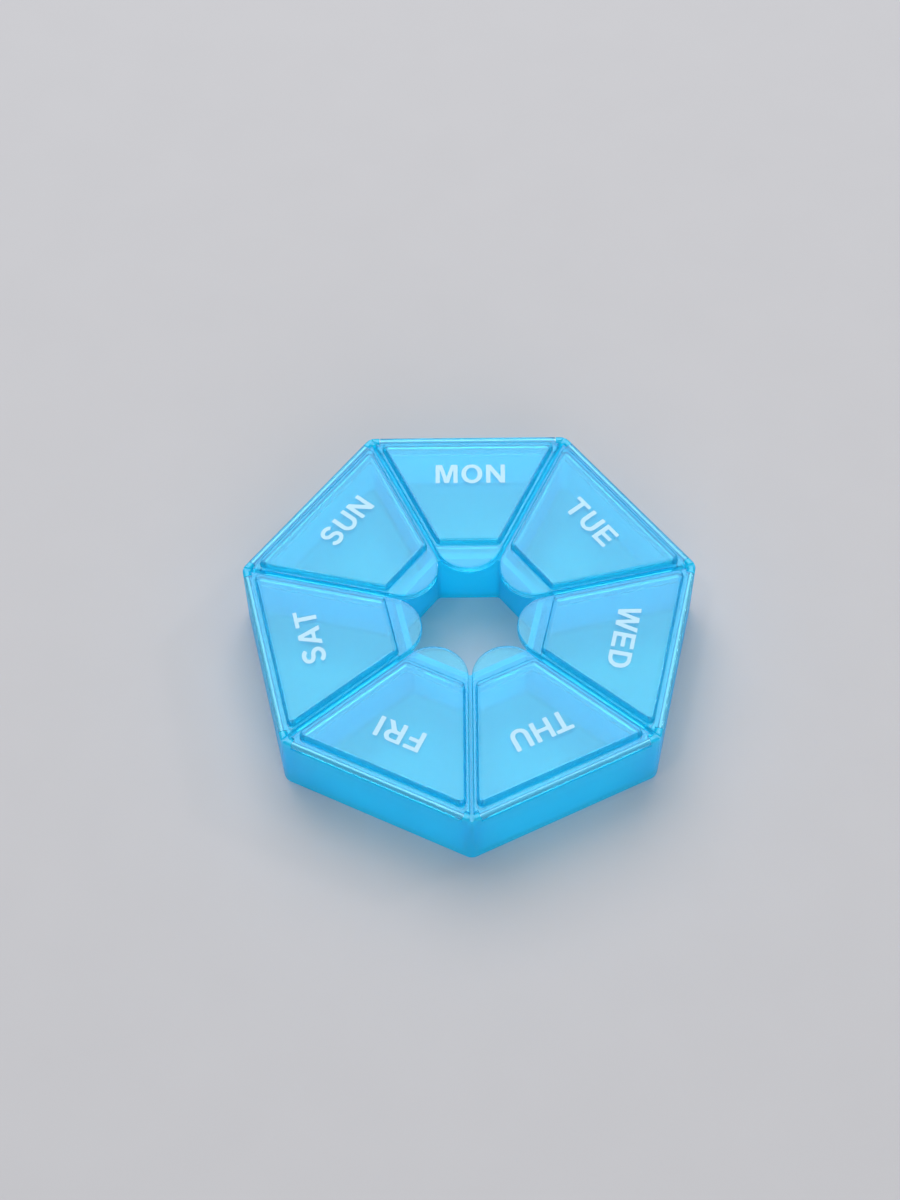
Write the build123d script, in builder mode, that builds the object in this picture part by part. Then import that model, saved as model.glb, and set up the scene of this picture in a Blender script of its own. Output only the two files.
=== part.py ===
# Weekly pill organizer: a seven-sided ring tray with a hinged lid over each compartment.
# Millimetres and degrees. The origin is on the ring's axis at the base, with +Z up.
# The first day's side faces +Y, and the days follow clockwise as seen from above.
import os
from math import cos, radians, sin, sqrt, tan

from build123d import *

# Driving dimensions of the tray
day_names = ("monday", "tuesday", "wednesday", "thursday", "friday", "saturday", "sunday")
centre_to_corner = 50.0  # ring axis to each outer corner, before the corner is rounded
hole_apothem = 13.6  # ring axis to each flat of the open middle
flange_height = 17.5  # base to the top of the lid flanges and corner posts
floor_thickness = 1.2
outer_wall = 1.6
inner_wall = 1.3
partition_wall = 1.6
corner_round = 2.5  # upright outer corners
hole_round = 1.2  # upright corners of the open middle
pocket_round = 1.2  # upright corners of the compartments
pocket_floor_round = 0.8
base_round = 0.8  # edges that meet the table
rim_round = 0.3

# Driving dimensions of the lids
lid_plate = 1.6  # thickness of the flange, the tab and the hinge bar
lid_wall = 1.1  # side wall of the raised panel and of the skirt below it
panel_setback = 3.15  # flat of the open middle to the raised panel
panel_rise = 1.4
panel_skin = 1.2
panel_draft = 12.0
panel_corner_round = 1.2
panel_edge_round = 0.5
plate_edge_round = 0.35
skirt_depth = 1.4
skirt_draft = 10.0  # the skirt narrows downwards, so it clears the slanted walls as the lid swings
skirt_edge_round = 0.3
tab_overhang = 3.1  # how far the thumb tab reaches into the open middle

# Driving dimensions of the hinges
pin_diameter = 0.8
pin_hold = 0.8  # length of each pin end inside its corner post
pin_end_chamfer = 0.12
post_length = 2.2  # corner to the post's end face, along the side
post_groove = 0.4  # depth of the seam line across each post top
hinge_edge_round = 0.6  # long edges of the hinge bar and of the post tops

# Clearances
seam_gap = 0.7  # between neighbouring lids
seat_gap = 0.1  # between a closed lid and the walls below it
skirt_clearance = 0.2
swing_clearance = 0.15  # around the turning hinge bar
bar_end_gap = 0.15
panel_ledge = 0.25  # flange left between a corner notch and the raised panel
pin_running_clearance = 0.05
pin_seat_clearance = 0.02
pin_end_gap = 0.1

# Sizes that follow from them
side_count = len(day_names)
half_angle = 180 / side_count
apothem = centre_to_corner * cos(radians(half_angle))
half_side = centre_to_corner * sin(radians(half_angle))
corner_angle = 90 + half_angle

hinge_half = lid_plate / 2
hinge_out = apothem - hinge_half
hinge_height = flange_height - hinge_half
hinge_round = min(hinge_edge_round, 0.8 * hinge_half)
swing_radius = (hinge_half - hinge_round) * sqrt(2) + hinge_round + swing_clearance

plate_under = flange_height - lid_plate
seat_height = plate_under - seat_gap
rim_height = hinge_height - swing_radius
notch_out = hinge_out - swing_radius
post_depth = lid_plate
post_start = half_side - post_length
bar_half = post_start - bar_end_gap
pin_half = post_start + pin_hold
pin_radius = pin_diameter / 2

pocket_inner = hole_apothem + inner_wall
pocket_outer = apothem - outer_wall
panel_inner = max(hole_apothem + panel_setback, pocket_inner + skirt_clearance)
panel_outer = min(notch_out - panel_ledge, pocket_outer - skirt_clearance)
panel_side = partition_wall / 2 + skirt_clearance
cavity_round = max(panel_corner_round - lid_wall, 0.3 * lid_wall)

tab_tip = hole_apothem - tab_overhang
tab_centre = (tab_tip - seam_gap / 2) / (1 - sin(radians(half_angle)))
tab_radius = tab_centre - tab_tip

level_tolerance = 0.001

# One plane for each side: x runs along the side, y points outwards and z points up
side_planes = [Plane.XY.rotated((0, 0, -2 * half_angle * index)) for index in range(side_count)]


def hinge_plane(side):
    axis_middle = side.from_local_coords(Vector(0, hinge_out, hinge_height))
    return Plane(origin=axis_middle, x_dir=side.y_dir, z_dir=side.x_dir)


def half_width(out, side_gap):
    # Half the width of a wedge whose slanted sides stay side_gap from the lines through the corners
    return out * tan(radians(half_angle)) - side_gap / cos(radians(half_angle))


def wedge_points(inner, outer, side_gap):
    inner_half = half_width(inner, side_gap)
    outer_half = half_width(outer, side_gap)
    return [(-inner_half, inner), (inner_half, inner), (outer_half, outer), (-outer_half, outer)]


def edges_at(part, height):
    return part.edges().filter_by_position(Axis.Z, height - level_tolerance, height + level_tolerance)


def edges_along(edges, side):
    return edges.filter_by(Axis(side.origin, side.x_dir))


def distance_out(side):
    return lambda edge: round(side.to_local_coords(edge.center()).Y, 3)


# Tray: ring, compartments, lowered rim, corner posts and pin seats
with BuildPart() as tray:
    with BuildSketch() as ring:
        RegularPolygon(centre_to_corner, side_count, rotation=corner_angle)
        fillet(ring.vertices(), corner_round)
    extrude(amount=seat_height)

    with BuildSketch(*[side.offset(floor_thickness) for side in side_planes]) as pockets:
        Polygon(*wedge_points(pocket_inner, pocket_outer, partition_wall / 2), align=None)
        fillet(pockets.vertices(), pocket_round)
    extrude(amount=flange_height, mode=Mode.SUBTRACT)
    fillet(edges_at(tray, floor_thickness), pocket_floor_round)

    with BuildSketch(*[side.offset(rim_height) for side in side_planes]):
        with Locations((0, apothem)):
            Rectangle(2 * half_side, 2 * outer_wall)
    extrude(amount=flange_height, mode=Mode.SUBTRACT)

    with BuildSketch() as posts:
        RegularPolygon(centre_to_corner, side_count, rotation=corner_angle)
        fillet(posts.vertices(), corner_round)
        offset(amount=-post_depth, mode=Mode.SUBTRACT)
        with PolarLocations(apothem, side_count, start_angle=90):
            Rectangle(4 * post_depth, 2 * post_start, mode=Mode.SUBTRACT)
    extrude(amount=flange_height)

    with BuildSketch() as hole:
        RegularPolygon(hole_apothem, side_count, major_radius=False, rotation=corner_angle)
        fillet(hole.vertices(), hole_round)
    extrude(amount=flange_height, mode=Mode.SUBTRACT)

    with BuildSketch(*[hinge_plane(side) for side in side_planes]):
        Circle(pin_radius + pin_seat_clearance)
    extrude(amount=pin_half + pin_end_gap, both=True, mode=Mode.SUBTRACT)

    fillet(edges_at(tray, 0), base_round)
    post_edges = edges_at(tray, flange_height)
    rounded_edges = post_edges.filter_by(GeomType.CIRCLE)
    for side in side_planes:
        rounded_edges += edges_along(post_edges, side)
    fillet(rounded_edges, hinge_round)
    with BuildSketch(Plane.XY.offset(flange_height - post_groove)):
        with PolarLocations(centre_to_corner, side_count, start_angle=corner_angle):
            Rectangle(4 * post_depth, seam_gap)
    extrude(amount=flange_height, mode=Mode.SUBTRACT)
    for side in side_planes:
        rim_edges = edges_along(edges_at(tray, rim_height), side)
        fillet(rim_edges.sort_by(distance_out(side))[-1], rim_round)


# Lid: flange plate with hinge bar and thumb tab, raised hollow panel, and a skirt inside the compartment
def make_lid(side):
    with BuildPart() as lid:
        flange_half = half_width(notch_out, seam_gap / 2)
        tab_half = tab_radius * cos(radians(half_angle))
        tab_start = tab_centre - tab_radius * sin(radians(half_angle))
        with BuildSketch(side.offset(plate_under)):
            with BuildLine():
                Polyline(
                    (tab_half, tab_start),
                    (flange_half, notch_out),
                    (bar_half, notch_out),
                    (bar_half, apothem),
                    (-bar_half, apothem),
                    (-bar_half, notch_out),
                    (-flange_half, notch_out),
                    (-tab_half, tab_start),
                )
                ThreePointArc((-tab_half, tab_start), (0, tab_tip), (tab_half, tab_start))
            make_face()
        extrude(amount=lid_plate)

        bar_edges = edges_along(lid.edges(), side).group_by(distance_out(side))[-1]
        fillet(bar_edges, hinge_round)
        flange_edges = edges_at(lid, flange_height)
        straight_edges = edges_along(flange_edges, side) + flange_edges.filter_by(Axis(side.origin, side.y_dir))
        fillet(flange_edges - straight_edges, plate_edge_round)

        with BuildSketch(side.offset(plate_under)) as skirt:
            Polygon(*wedge_points(panel_inner, panel_outer, panel_side), align=None)
            fillet(skirt.vertices(), panel_corner_round)
        extrude(amount=-skirt_depth, taper=skirt_draft)
        fillet(lid.faces().sort_by(Axis.Z)[0].edges(), skirt_edge_round)

        with BuildSketch(side.offset(flange_height)) as panel:
            Polygon(*wedge_points(panel_inner, panel_outer, panel_side), align=None)
            fillet(panel.vertices(), panel_corner_round)
        extrude(amount=panel_rise, taper=panel_draft)
        fillet(lid.faces().sort_by(Axis.Z)[-1].edges(), panel_edge_round)

        with BuildSketch(side.offset(plate_under - skirt_depth)) as cavity:
            cavity_points = wedge_points(panel_inner + lid_wall, panel_outer - lid_wall, panel_side + lid_wall)
            Polygon(*cavity_points, align=None)
            fillet(cavity.vertices(), cavity_round)
        extrude(amount=skirt_depth + lid_plate + panel_rise - panel_skin, mode=Mode.SUBTRACT)

        with BuildSketch(hinge_plane(side)):
            Circle(pin_radius + pin_running_clearance)
        extrude(amount=half_side, both=True, mode=Mode.SUBTRACT)
    return lid.part


# Hinge pin: a plain wire pin with eased ends
def make_pin(side):
    with BuildPart() as pin:
        with BuildSketch(hinge_plane(side)):
            Circle(pin_radius)
        extrude(amount=pin_half, both=True)
        chamfer(pin.edges().filter_by(GeomType.CIRCLE), pin_end_chamfer)
    return pin.part


os.makedirs("parts", exist_ok=True)
tray.part.label = "tray"
export_step(tray.part, "parts/tray.step")

for day, side in zip(day_names, side_planes):
    lid_part = make_lid(side)
    lid_part.label = f"lid_{day}"
    export_step(lid_part, f"parts/lid_{day}.step")
    pin_part = make_pin(side)
    pin_part.label = f"hinge_pin_{day}"
    export_step(pin_part, f"parts/hinge_pin_{day}.step")
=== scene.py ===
# Weekly pill organizer: translucent blue tray and lids, steel hinge pins and printed day names.
import math

import bmesh
import bpy
from mathutils import Matrix, Vector


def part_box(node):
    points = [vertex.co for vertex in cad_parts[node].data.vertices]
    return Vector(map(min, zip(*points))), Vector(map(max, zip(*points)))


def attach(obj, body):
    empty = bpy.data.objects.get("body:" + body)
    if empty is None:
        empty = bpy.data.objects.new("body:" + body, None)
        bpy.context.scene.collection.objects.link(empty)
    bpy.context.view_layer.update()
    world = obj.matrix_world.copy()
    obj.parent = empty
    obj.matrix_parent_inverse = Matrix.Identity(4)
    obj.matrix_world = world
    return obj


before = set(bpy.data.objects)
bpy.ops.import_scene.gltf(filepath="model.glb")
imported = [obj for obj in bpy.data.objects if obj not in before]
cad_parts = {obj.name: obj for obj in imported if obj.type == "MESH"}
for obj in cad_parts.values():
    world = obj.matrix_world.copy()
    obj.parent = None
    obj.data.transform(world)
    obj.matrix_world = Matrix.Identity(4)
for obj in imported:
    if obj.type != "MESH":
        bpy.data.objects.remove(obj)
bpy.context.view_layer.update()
days = ("monday", "tuesday", "wednesday", "thursday", "friday", "saturday", "sunday")
mm = 0.001
sideTurn = math.radians(360 / len(days))


def linear(hexColour):
    # sRGB hex to the linear values that sockets take
    parts = [int(hexColour[i:i + 2], 16) / 255 for i in (0, 2, 4)]
    return [c / 12.92 if c <= 0.04045 else ((c + 0.055) / 1.055) ** 2.4 for c in parts] + [1]


def sideMatrix(index):
    # a side's own frame: x along the side, y outwards, z up
    return Matrix.Rotation(-sideTurn * index, 4, "Z")


def addObject(name, data):
    thing = bpy.data.objects.new(name, data)
    bpy.context.scene.collection.objects.link(thing)
    return thing


class NodeKit:
    # the nodes of one material or world
    def __init__(self, owner, outKind="ShaderNodeOutputMaterial"):
        owner.use_nodes = True
        self.tree = owner.node_tree
        self.tree.nodes.clear()
        self.out = self.add(outKind)

    def add(self, kind, sockets=None, **settings):
        node = self.tree.nodes.new(kind)
        for name, value in settings.items():
            setattr(node, name, value)
        for name, value in (sockets or {}).items():
            self.feed(node, name, value)
        return node

    def feed(self, node, name, value):
        # a socket takes a value, or the output of another node
        if isinstance(value, bpy.types.NodeSocket):
            self.tree.links.new(value, node.inputs[name])
        else:
            node.inputs[name].default_value = value

    def place(self):
        return self.add("ShaderNodeTexCoord").outputs["Object"]

    def noise(self, scale, detail):
        noise = self.add("ShaderNodeTexNoise", {"Vector": self.place(), "Scale": scale, "Detail": detail})
        return noise.outputs["Fac"]

    def toneBetween(self, share, tones):
        # sockets 6 and 7 are the two colours, and output 2 is their mix
        sockets = {"Factor": share, 6: linear(tones[0]), 7: linear(tones[1])}
        return self.add("ShaderNodeMix", sockets, data_type="RGBA").outputs[2]

    def valueBetween(self, share, limits):
        ranged = self.add("ShaderNodeMapRange", {"Value": share, "To Min": limits[0], "To Max": limits[1]})
        return ranged.outputs["Result"]

    def blend(self, share, first, second):
        return self.add("ShaderNodeMixShader", {0: share, 1: first.outputs[0], 2: second.outputs[0]})

    def backgroundRays(self):
        # 1 for the rays that show the background: camera, gloss and see-through
        path = self.add("ShaderNodeLightPath")
        seen = path.outputs["Is Camera Ray"]
        for kind in ("Is Glossy Ray", "Is Transmission Ray"):
            either = self.add("ShaderNodeMath", {0: seen, 1: path.outputs[kind]}, operation="MAXIMUM")
            seen = either.outputs[0]
        return seen


plasticLook = {
    "tray": {
        "tones": ("08E5FC", "14EFFE"),
        "clear": 0.3,  # share of clear plastic, and the rest is milky
        "glow": 0.6,  # share of the milky part that lets light through
        "clearRough": 0.05,
        "tint": (0.5, 0.88, 1, 1),
        "lampTint": (0.59, 0.605, 0.61, 1),  # what the lamps' light keeps at each surface
        "absorbColour": (0.08, 0.88, 1, 1),
        "absorbDensity": 340,
    },
    "lid": {
        "tones": ("36CEFF", "56DCFF"),
        "clear": 0.82,
        "glow": 0.72,
        "clearRough": 0.12,
        "tint": (0.74, 0.97, 1, 1),
        "lampTint": (0.62, 0.7, 0.71, 1),
        "absorbColour": (0.08, 0.98, 1, 1),
        "absorbDensity": 310,
    },
    "ior": 1.49,
    "cloudScale": 45,
    "cloudDetail": 3,
    "roughness": (0.14, 0.24),
    "rippleScale": 220,
    "rippleDetail": 2,
    "rippleStrength": 0.03,
    "rippleDepth": 0.4 * mm,
    "specular": 0.8,
    "coat": 0.8,
    "coatRough": 0.05,
}


def bluePlastic(name, look):
    material = bpy.data.materials.new(name)
    kit = NodeKit(material)
    cloud = kit.noise(plasticLook["cloudScale"], plasticLook["cloudDetail"])
    tone = kit.toneBetween(cloud, look["tones"])
    ripple = kit.add("ShaderNodeBump", {
        "Height": kit.noise(plasticLook["rippleScale"], plasticLook["rippleDetail"]),
        "Strength": plasticLook["rippleStrength"],
        "Distance": plasticLook["rippleDepth"],
    }).outputs["Normal"]
    body = kit.add("ShaderNodeBsdfPrincipled", {
        "Base Color": tone,
        "Roughness": kit.valueBetween(cloud, plasticLook["roughness"]),
        "Normal": ripple,
        "IOR": plasticLook["ior"],
        "Specular IOR Level": plasticLook["specular"],
        "Coat Weight": plasticLook["coat"],
        "Coat Roughness": plasticLook["coatRough"],
    })
    glow = kit.add("ShaderNodeBsdfTranslucent", {"Color": tone})
    clear = kit.add("ShaderNodeBsdfGlass", {
        "Color": look["tint"],
        "Roughness": look["clearRough"],
        "IOR": plasticLook["ior"],
        "Normal": ripple,
    })
    milky = kit.blend(look["glow"], body, glow)
    mixed = kit.blend(look["clear"], milky, clear)
    lampRays = kit.add("ShaderNodeLightPath").outputs["Is Shadow Ray"]
    lampThrough = kit.add("ShaderNodeBsdfTransparent", {"Color": look["lampTint"]})
    whole = kit.blend(lampRays, mixed, lampThrough)
    kit.feed(kit.out, "Surface", whole.outputs[0])
    depth = kit.add("ShaderNodeVolumeAbsorption", {
        "Color": look["absorbColour"],
        "Density": look["absorbDensity"],
    })
    kit.feed(kit.out, "Volume", depth.outputs[0])
    return material


pinLook = {
    "colour": (0.6, 0.67, 0.76, 1),
    "grainScale": 3000,
    "grainDetail": 4,
    "roughness": (0.22, 0.4),
}


def pinSteel():
    material = bpy.data.materials.new("pinSteel")
    kit = NodeKit(material)
    grain = kit.noise(pinLook["grainScale"], pinLook["grainDetail"])
    shader = kit.add("ShaderNodeBsdfPrincipled", {
        "Base Color": pinLook["colour"],
        "Metallic": 1,
        "Roughness": kit.valueBetween(grain, pinLook["roughness"]),
    })
    kit.feed(kit.out, "Surface", shader.outputs[0])
    return material


inkLook = {
    "tones": ("A6D6EE", "B6E0F4"),
    "speckScale": 900,
    "speckDetail": 4,
    "roughness": 0.45,
}


def printInk():
    material = bpy.data.materials.new("printInk")
    kit = NodeKit(material)
    speck = kit.noise(inkLook["speckScale"], inkLook["speckDetail"])
    shader = kit.add("ShaderNodeBsdfPrincipled", {
        "Base Color": kit.toneBetween(speck, inkLook["tones"]),
        "Roughness": inkLook["roughness"],
    })
    kit.feed(kit.out, "Surface", shader.outputs[0])
    return material


finishes = {
    "tray": bluePlastic("trayBlue", plasticLook["tray"]),
    "lid": bluePlastic("lidBlue", plasticLook["lid"]),
    "hinge": pinSteel(),
}
ink = printInk()

for name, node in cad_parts.items():
    node.data.materials.clear()
    node.data.materials.append(finishes[name.split("_")[0]])
print("materials on", len(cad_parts), "nodes")

printLook = {
    "capHeight": 4.8 * mm,
    "stem": 0.21,  # stroke widths and gaps are shares of the cap height
    "bar": 0.175,
    "gap": 0.17,
    "closePairs": {"WE": 0.11, "TH": 0.07, "SA": 0.12, "AT": 0.04},
    "merge": 1e-5,
    "thickness": 0.03 * mm,
    "sunk": 0.005 * mm,
    # middle of each print: along the side, and out from the axis
    "places": {
        "monday": (0.5, 34.1),
        "tuesday": (-0.1, 34.0),
        "wednesday": (0.4, 33.3),
        "thursday": (0.0, 33.2),
        "friday": (-0.1, 33.8),
        "saturday": (0.6, 34.4),
        "sunday": (0.8, 34.4),
    },
}


def arc(cx, cy, rx, ry, start, end, steps=24):
    turns = [math.radians(start + (end - start) * i / steps) for i in range(steps + 1)]
    return [(cx + rx * math.cos(a), cy + ry * math.sin(a)) for a in turns]


def strip(line, half):
    # outline of a stroke that follows a line of points
    left, right = [], []
    for i, (x, y) in enumerate(line):
        before, after = line[max(i - 1, 0)], line[min(i + 1, len(line) - 1)]
        dx, dy = after[0] - before[0], after[1] - before[1]
        length = math.hypot(dx, dy)
        left.append((x - dy / length * half, y + dx / length * half))
        right.append((x + dy / length * half, y - dx / length * half))
    return left + right[::-1]


def blockLetters(s, b):
    # letter: width, then its outlines, at cap height 1
    return {
        "I": (s, [[(0, 0), (s, 0), (s, 1), (0, 1)]]),
        "T": (0.81, [[(0, 1), (0, 1 - b), (0.405 - s / 2, 1 - b), (0.405 - s / 2, 0), (0.405 + s / 2, 0),
                      (0.405 + s / 2, 1 - b), (0.81, 1 - b), (0.81, 1)]]),
        "F": (0.71, [[(0, 0), (s, 0), (s, 0.4), (0.62, 0.4), (0.62, 0.4 + b), (s, 0.4 + b), (s, 1 - b),
                      (0.71, 1 - b), (0.71, 1), (0, 1)]]),
        "E": (0.78, [[(0, 0), (0.78, 0), (0.78, b), (s, b), (s, 0.41), (0.71, 0.41), (0.71, 0.41 + b),
                      (s, 0.41 + b), (s, 1 - b), (0.76, 1 - b), (0.76, 1), (0, 1)]]),
        "H": (0.86, [[(0, 0), (s, 0), (s, 0.41), (0.86 - s, 0.41), (0.86 - s, 0), (0.86, 0), (0.86, 1),
                      (0.86 - s, 1), (0.86 - s, 0.41 + b), (s, 0.41 + b), (s, 1), (0, 1)]]),
        "N": (0.86, [[(0, 0), (0.195, 0), (0.195, 0.66), (0.645, 0), (0.86, 0), (0.86, 1), (0.665, 1),
                      (0.665, 0.345), (0.215, 1), (0, 1)]]),
        "M": (1.0, [[(0, 0), (0.19, 0), (0.19, 0.76), (0.4, 0), (0.6, 0), (0.81, 0.76), (0.81, 0), (1, 0),
                     (1, 1), (0.705, 1), (0.5, 0.32), (0.295, 1), (0, 1)]]),
        "W": (1.26, [[(0, 1), (0.235, 0), (0.465, 0), (0.63, 0.7), (0.795, 0), (1.025, 0), (1.26, 1),
                      (1.045, 1), (0.905, 0.31), (0.75, 1), (0.51, 1), (0.355, 0.31), (0.215, 1)]]),
        "A": (0.95, [[(0, 0), (0.225, 0), (0.3, 0.225), (0.65, 0.225), (0.725, 0), (0.95, 0), (0.585, 1),
                      (0.365, 1)],
                     [(0.355, 0.39), (0.595, 0.39), (0.475, 0.76)]]),
        "O": (0.96, [arc(0.48, 0.5, 0.48, 0.52, 0, 345), arc(0.48, 0.5, 0.265, 0.345, 0, 345)]),
        "U": (0.82, [[(0, 1)] + arc(0.41, 0.36, 0.41, 0.38, 180, 360) + [(0.82, 1), (0.82 - s, 1)]
                     + arc(0.41, 0.36, 0.41 - s, 0.2, 360, 180) + [(s, 1)]]),
        "D": (0.84, [[(0, 0)] + arc(0.36, 0.5, 0.48, 0.5, -90, 90) + [(0, 1)],
                     [(s, b)] + arc(0.36, 0.5, 0.48 - s, 0.5 - b, -90, 90) + [(s, 1 - b)]]),
        "R": (0.88, [[(0, 0), (s, 0), (s, 0.405), (0.3, 0.405), (0.39, 0.37), (0.63, 0), (0.88, 0),
                      (0.66, 0.345)] + arc(0.5, 0.71, 0.31, 0.29, -70, 90) + [(0, 1)],
                     [(s, 0.575)] + arc(0.48, 0.71, 0.12, 0.135, -90, 90) + [(s, 0.845)]]),
        "S": (0.8, [strip(arc(0.4, 0.725, 0.275, 0.205, 20, 265) + arc(0.4, 0.29, 0.3, 0.23, 85, -160),
                          0.095)]),
    }


letters = blockLetters(printLook["stem"], printLook["bar"])


def wordMesh(name, word):
    curve = bpy.data.curves.new(name, "CURVE")
    curve.dimensions = "2D"
    curve.fill_mode = "BOTH"
    x = 0
    for i, letter in enumerate(word):
        width, loops = letters[letter]
        for loop in loops:
            spline = curve.splines.new("POLY")
            spline.points.add(len(loop) - 1)
            spline.use_cyclic_u = True
            for point, (px, py) in zip(spline.points, loop):
                point.co = (x + px, py, 0, 1)
        x += width + printLook["closePairs"].get(word[i:i + 2], printLook["gap"])
    holder = addObject(name, curve)
    bpy.context.view_layer.update()
    flat = bpy.data.meshes.new_from_object(holder.evaluated_get(bpy.context.evaluated_depsgraph_get()))
    bpy.data.objects.remove(holder)
    return flat


def dayPrint(index, day):
    name = "print_" + day
    cut = bmesh.new()
    cut.from_mesh(wordMesh(name, day[:3].upper()))
    bmesh.ops.remove_doubles(cut, verts=cut.verts, dist=printLook["merge"])
    middle = (min(v.co.x for v in cut.verts) + max(v.co.x for v in cut.verts)) / 2
    bmesh.ops.translate(cut, verts=cut.verts, vec=(-middle, -0.5, 0))  # half the cap height down
    bmesh.ops.scale(cut, verts=cut.verts, vec=Vector((1, 1, 1)) * printLook["capHeight"])
    grown = bmesh.ops.extrude_face_region(cut, geom=cut.faces[:])
    top = [v for v in grown["geom"] if isinstance(v, bmesh.types.BMVert)]
    bmesh.ops.translate(cut, verts=top, vec=(0, 0, printLook["thickness"]))
    bmesh.ops.recalc_face_normals(cut, faces=cut.faces)
    along, out = printLook["places"][day]
    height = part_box("lid_" + day)[1].z - printLook["sunk"]
    bmesh.ops.translate(cut, verts=cut.verts, vec=(along * mm, out * mm, height))
    bmesh.ops.transform(cut, matrix=sideMatrix(index), verts=cut.verts)
    mesh = bpy.data.meshes.new(name)
    cut.to_mesh(mesh)
    cut.free()
    piece = addObject(name, mesh)
    mesh.materials.append(ink)
    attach(piece, "lid_" + day)


for index, day in enumerate(days):
    dayPrint(index, day)
print("printed", len(days), "day names")

studio = {
    "floorTones": ("C0C0C4", "C3C3C7"),
    "floorSize": 4.0,
    "grainScale": 60,
    "grainDetail": 4,
    "floorRough": 0.8,
    "floorSpecular": 0.1,
    "backdrop": "C9C9CD",
    "fade": (0.25, 0.7),  # the floor runs into the backdrop between these distances from the object
    "worldColour": (1, 1, 1, 1),
    "worldStrength": 0.3,
    "seeThroughBounces": 48,
    "lamps": {
        "keyLight": {"place": Vector((-0.15, 0.85, 1.25)), "size": 1.4, "power": 19.8},
        "frontFill": {"place": Vector((0.25, -1.2, 0.6)), "size": 1.0, "power": 5.5},
        "sideGlint": {"place": Vector((0.8, 0.4, 0.76)), "size": 0.1, "power": 0.9},
        "topGlint": {"place": Vector((-0.35, -0.3, 1.2)), "size": 0.12, "power": 1.1},
    },
}


def floorPaper():
    material = bpy.data.materials.new("floorPaper")
    kit = NodeKit(material)
    grain = kit.noise(studio["grainScale"], studio["grainDetail"])
    paper = kit.add("ShaderNodeBsdfPrincipled", {
        "Base Color": kit.toneBetween(grain, studio["floorTones"]),
        "Roughness": studio["floorRough"],
        "Specular IOR Level": studio["floorSpecular"],
    })
    far = kit.add("ShaderNodeVectorMath", {"Vector": kit.place()}, operation="LENGTH")
    fade = kit.add("ShaderNodeMapRange", {
        "Value": far.outputs["Value"],
        "From Min": studio["fade"][0],
        "From Max": studio["fade"][1],
    }, interpolation_type="SMOOTHSTEP")
    share = kit.add("ShaderNodeMath", {
        0: fade.outputs["Result"],
        1: kit.backgroundRays(),
    }, operation="MULTIPLY")
    backdrop = kit.add("ShaderNodeEmission", {"Color": linear(studio["backdrop"])})
    whole = kit.blend(share.outputs[0], paper, backdrop)
    kit.feed(kit.out, "Surface", whole.outputs[0])
    material.cycles.emission_sampling = "NONE"  # the backdrop is looked at, and is no lamp
    return material


def studioFloor():
    cells = bmesh.new()
    bmesh.ops.create_grid(cells, x_segments=1, y_segments=1, size=studio["floorSize"] / 2)
    mesh = bpy.data.meshes.new("floor")
    cells.to_mesh(mesh)
    cells.free()
    floor = addObject("floor", mesh)
    mesh.materials.append(floorPaper())


def studioLight():
    for name, look in studio["lamps"].items():
        lamp = bpy.data.lights.new(name, "AREA")
        lamp.shape = "SQUARE"
        lamp.size = look["size"]
        lamp.energy = look["power"]
        holder = addObject(name, lamp)
        holder.location = look["place"]
        holder.rotation_mode = "QUATERNION"
        holder.rotation_quaternion = (-look["place"]).to_track_quat("-Z", "Y")
    world = bpy.data.worlds.new("studio")
    kit = NodeKit(world, "ShaderNodeOutputWorld")
    sky = kit.add("ShaderNodeBackground", {
        "Color": studio["worldColour"],
        "Strength": studio["worldStrength"],
    })
    backdrop = kit.add("ShaderNodeBackground", {"Color": linear(studio["backdrop"])})
    whole = kit.blend(kit.backgroundRays(), sky, backdrop)
    kit.feed(kit.out, "Surface", whole.outputs[0])
    bpy.context.scene.world = world


cameraView = {
    "azimuth": math.radians(0.43),
    "elevation": math.radians(58.26),
    "roll": math.radians(-0.87),
    "distance": 528.6 * mm,
    "target": Vector((-4.20, 13.37, 0)) * mm,
    "focalPixels": 2391,
    "longSidePixels": 1200,
    "sensorWidth": 36,
    "clipStart": 10 * mm,
}


def photoCamera():
    a, e, r = cameraView["azimuth"], cameraView["elevation"], cameraView["roll"]
    back = Vector((math.sin(a) * math.cos(e), -math.cos(a) * math.cos(e), math.sin(e)))
    right = Vector((math.cos(a), math.sin(a), 0))
    up = back.cross(right)
    rightRolled = right * math.cos(r) + up * math.sin(r)
    upRolled = up * math.cos(r) - right * math.sin(r)
    lens = bpy.data.cameras.new("photoCamera")
    lens.sensor_width = cameraView["sensorWidth"]
    lens.lens = cameraView["sensorWidth"] * cameraView["focalPixels"] / cameraView["longSidePixels"]
    lens.clip_start = cameraView["clipStart"]
    holder = addObject("photoCamera", lens)
    turn = Matrix((rightRolled, upRolled, back)).transposed().to_4x4()
    holder.matrix_world = Matrix.Translation(cameraView["target"] + back * cameraView["distance"]) @ turn
    bpy.context.scene.camera = holder


studioFloor()
studioLight()
photoCamera()
bpy.context.scene.view_settings.view_transform = "Standard"
bpy.context.scene.cycles.transparent_max_bounces = studio["seeThroughBounces"]
print("studio ready")
